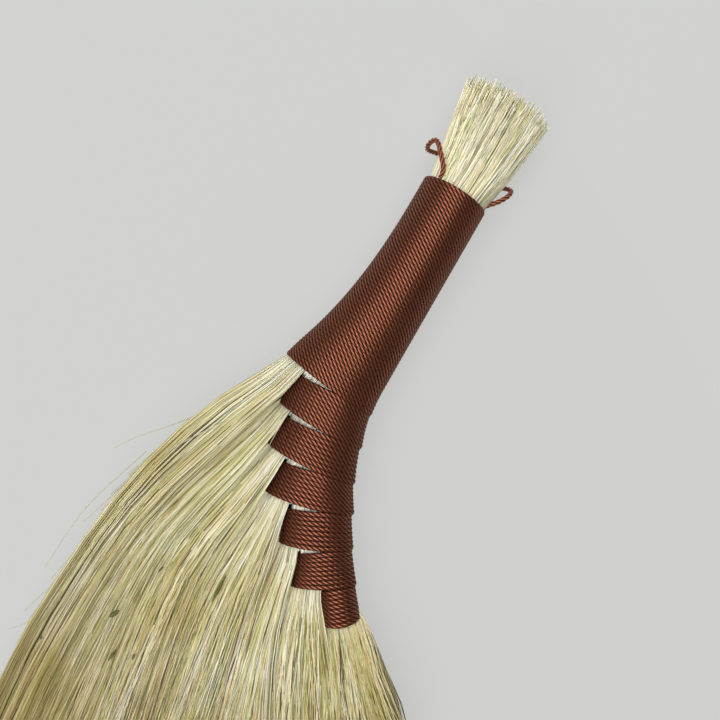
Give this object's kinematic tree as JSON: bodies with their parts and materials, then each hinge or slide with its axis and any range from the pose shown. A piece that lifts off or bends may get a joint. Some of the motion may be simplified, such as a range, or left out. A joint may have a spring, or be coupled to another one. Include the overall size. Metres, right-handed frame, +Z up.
{
  "type": "dust brush",
  "caption": "Hand-bound whisk brush: stepped fibre bundles fan out from a curved grip wound with twisted cord, with a hanging loop at its cut butt ends.",
  "frame": {"origin": "middle of the base of the brush's bounding box, on the table that it lies on", "axes": "+Z up from the table, +Y along the grip towards the cut butt ends, +X towards the spine, where the last band of the binding is"},
  "size_m": [0.1504, 0.277, 0.0218],
  "materials": {
    "binding_layer": "matt twisted cord, brown",
    "cord": "twisted cord with a low sheen, reddish brown",
    "bound_fibre": "pale ivory plant fibre, satin",
    "fan_fibre": "straw-coloured plant fibre with greenish and tan streaks, satin",
    "butt_fibre": "ivory plant fibre, cut ends, satin"
  },
  "bodies": {
    "root": {"binding_band_1": "binding_layer", "binding_band_2": "binding_layer", "binding_band_3": "binding_layer", "binding_band_4": "binding_layer", "binding_band_5": "binding_layer", "binding_band_6": "binding_layer", "binding_band_7": "binding_layer", "binding_cord": "cord", "hanging_loop": "cord", "bundle_core_1": "bound_fibre", "bundle_core_2": "bound_fibre", "bundle_core_3": "bound_fibre", "bundle_core_4": "bound_fibre", "bundle_core_5": "bound_fibre", "bundle_core_6": "bound_fibre", "bundle_core_7": "bound_fibre", "fan_bristles_1": "fan_fibre", "fan_bristles_2": "fan_fibre", "fan_bristles_3": "fan_fibre", "fan_bristles_4": "fan_fibre", "fan_bristles_5": "fan_fibre", "fan_bristles_6": "fan_fibre", "fan_bristles_7": "fan_fibre", "butt_tuft_1": "butt_fibre", "butt_tuft_2": "butt_fibre", "butt_tuft_3": "butt_fibre", "butt_tuft_4": "butt_fibre", "butt_tuft_5": "butt_fibre", "butt_tuft_6": "butt_fibre", "butt_tuft_7": "butt_fibre"}
  },
  "joints": []
}
